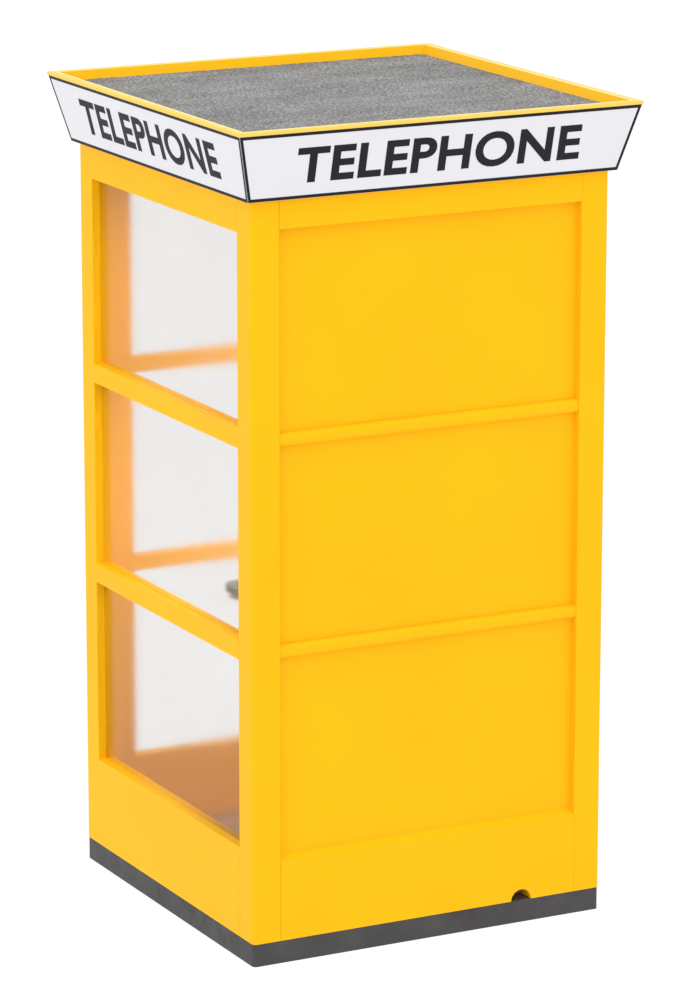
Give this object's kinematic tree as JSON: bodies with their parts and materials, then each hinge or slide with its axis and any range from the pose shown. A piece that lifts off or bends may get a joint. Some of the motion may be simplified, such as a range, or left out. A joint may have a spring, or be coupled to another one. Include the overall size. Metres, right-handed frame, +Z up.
{
  "type": "telephone booth",
  "caption": "Square street telephone booth with glazed sides and door, closed panelled back, flared sign box, felted flat roof, and a coin telephone over a shelf inside.",
  "frame": {"origin": "middle of the plinth's underside, which is the bottom centre of the bounding box", "axes": "+Z up; the door faces -Y and the closed back wall +Y; +X is the right side as seen by a person who walks in"},
  "size_m": [1.232, 1.232, 2.332],
  "materials": {
    "plinth_concrete": "matt dark grey cast",
    "yellow_timber": "satin paint",
    "yellow_sheet": "satin paint",
    "steel_plate": "dull",
    "mat_rubber": "matt ribbed",
    "clear_glass": "polished",
    "felt": "matt mineral grain",
    "ceiling_white": "satin paint",
    "roof_ply": "bare",
    "enamel_white": "gloss enamel",
    "opal_dome": "opal",
    "chrome_bar": "polished",
    "hinge_steel": "satin",
    "closer_paint": "silver paint",
    "grey_board": "satin laminate",
    "grey_steel": "satin paint",
    "phone_grey": "hammered",
    "black_gloss": "gloss",
    "book_binding": "grained cover",
    "conduit_steel": "galvanised"
  },
  "bodies": {
    "booth": {"plinth": "plinth_concrete", "floor_plate": "steel_plate", "floor_mat": "mat_rubber", "threshold": "steel_plate", "post_back_right": "yellow_timber", "post_back_left": "yellow_timber", "post_front_right": "yellow_timber", "post_front_left": "yellow_timber", "side_sills": "yellow_timber", "side_heads": "yellow_timber", "side_rails": "yellow_timber", "side_glass": "clear_glass", "side_beads": "yellow_timber", "back_sill": "yellow_timber", "back_head": "yellow_timber", "back_rails": "yellow_timber", "back_panels": "yellow_sheet", "front_head": "yellow_timber", "door_stops": "yellow_timber", "ceiling_panel": "ceiling_white", "lamp_base": "enamel_white", "lamp_dome": "opal_dome", "roof_deck": "roof_ply", "roof_felt": "felt", "roof_rim": "yellow_timber", "sign_frame": "yellow_sheet", "sign_panel_back": "enamel_white", "sign_panel_front": "enamel_white", "sign_panels_side": "enamel_white", "hinge_leaves_frame": "hinge_steel", "hinge_pins": "hinge_steel", "closer_bracket": "closer_paint", "backboard": "grey_board", "shelf": "grey_board", "shelf_brackets": "grey_steel", "directory_rod": "chrome_bar", "phone_housing": "phone_grey", "dial_plate": "black_gloss", "cord_gland": "grey_steel", "cable_conduit": "conduit_steel", "conduit_clips": "grey_steel"},
    "door": {"door_hinge_stile": "yellow_timber", "door_lock_stile": "yellow_timber", "door_rails": "yellow_timber", "door_kick_panel": "yellow_timber", "door_glass": "clear_glass", "door_beads": "yellow_timber", "door_handles": "chrome_bar", "hinge_leaves_door": "hinge_steel", "closer_body": "closer_paint"},
    "closer_arm": {"closer_arm": "closer_paint"},
    "closer_link": {"closer_link": "closer_paint"},
    "directory_left": {"directory_left": "book_binding"},
    "directory_right": {"directory_right": "book_binding"},
    "dial": {"dial_wheel": "chrome_bar"},
    "coin_flap": {"coin_flap": "chrome_bar"},
    "cash_door": {"cash_door": "phone_grey"},
    "refund_button": {"refund_button": "chrome_bar"},
    "hook": {"hook_lever": "chrome_bar"},
    "handset": {"handset": "black_gloss"}
  },
  "joints": [
    {"name": "door_hinge", "type": "hinge", "parent": "booth", "child": "door", "pos_m": [0.4635, -0.5575, 1.0895], "axis": [0, 0, 1], "range_deg": [0, 95]},
    {"name": "closer_arm_pivot", "type": "hinge", "parent": "door", "child": "closer_arm", "pos_m": [0.2235, -0.47, 2.0725], "axis": [0, 0, 1], "range_deg": [-95, 0]},
    {"name": "closer_link_pivot", "type": "hinge", "parent": "closer_arm", "child": "closer_link", "pos_m": [0.1635, -0.32, 2.0805], "axis": [0, 0, 1], "range_deg": [0, 95]},
    {"name": "directory_left_swing", "type": "hinge", "parent": "booth", "child": "directory_left", "pos_m": [-0.196, 0.113, 0.941], "axis": [-1, 0, 0], "range_deg": [-20, 100]},
    {"name": "directory_right_swing", "type": "hinge", "parent": "booth", "child": "directory_right", "pos_m": [0.196, 0.113, 0.941], "axis": [-1, 0, 0], "range_deg": [-20, 100]},
    {"name": "dial_turn", "type": "hinge", "parent": "booth", "child": "dial", "pos_m": [0, 0.3732, 1.328], "axis": [0, 1, 0], "range_deg": [0, 320], "stiffness_Nm_per_rad": 0.02},
    {"name": "coin_flap_swing", "type": "hinge", "parent": "booth", "child": "coin_flap", "pos_m": [-0.068, 0.38005, 1.139], "axis": [1, 0, 0], "range_deg": [0, 60]},
    {"name": "cash_door_hinge", "type": "hinge", "parent": "booth", "child": "cash_door", "pos_m": [0.0972, 0.3751, 1.134], "axis": [0, 0, 1], "range_deg": [0, 110]},
    {"name": "refund_button_press", "type": "slide", "parent": "booth", "child": "refund_button", "axis": [0, 1, 0], "range_m": [0, 0.008], "stiffness_N_per_m": 150},
    {"name": "hook_turn", "type": "hinge", "parent": "booth", "child": "hook", "pos_m": [-0.099, 0.472, 1.36815], "axis": [0, 1, 0], "range_deg": [0, 6], "stiffness_Nm_per_rad": 0.3, "springref_deg": 6.02},
    {"name": "handset_lift", "type": "slide", "parent": "hook", "child": "handset", "axis": [0, 0, 1], "range_m": [0, 0.05]}
  ],
  "couplings": [
    {"joint": "closer_arm_pivot", "follows": "door_hinge", "ratio": -1},
    {"joint": "closer_link_pivot", "follows": "door_hinge", "ratio": 1}
  ]
}
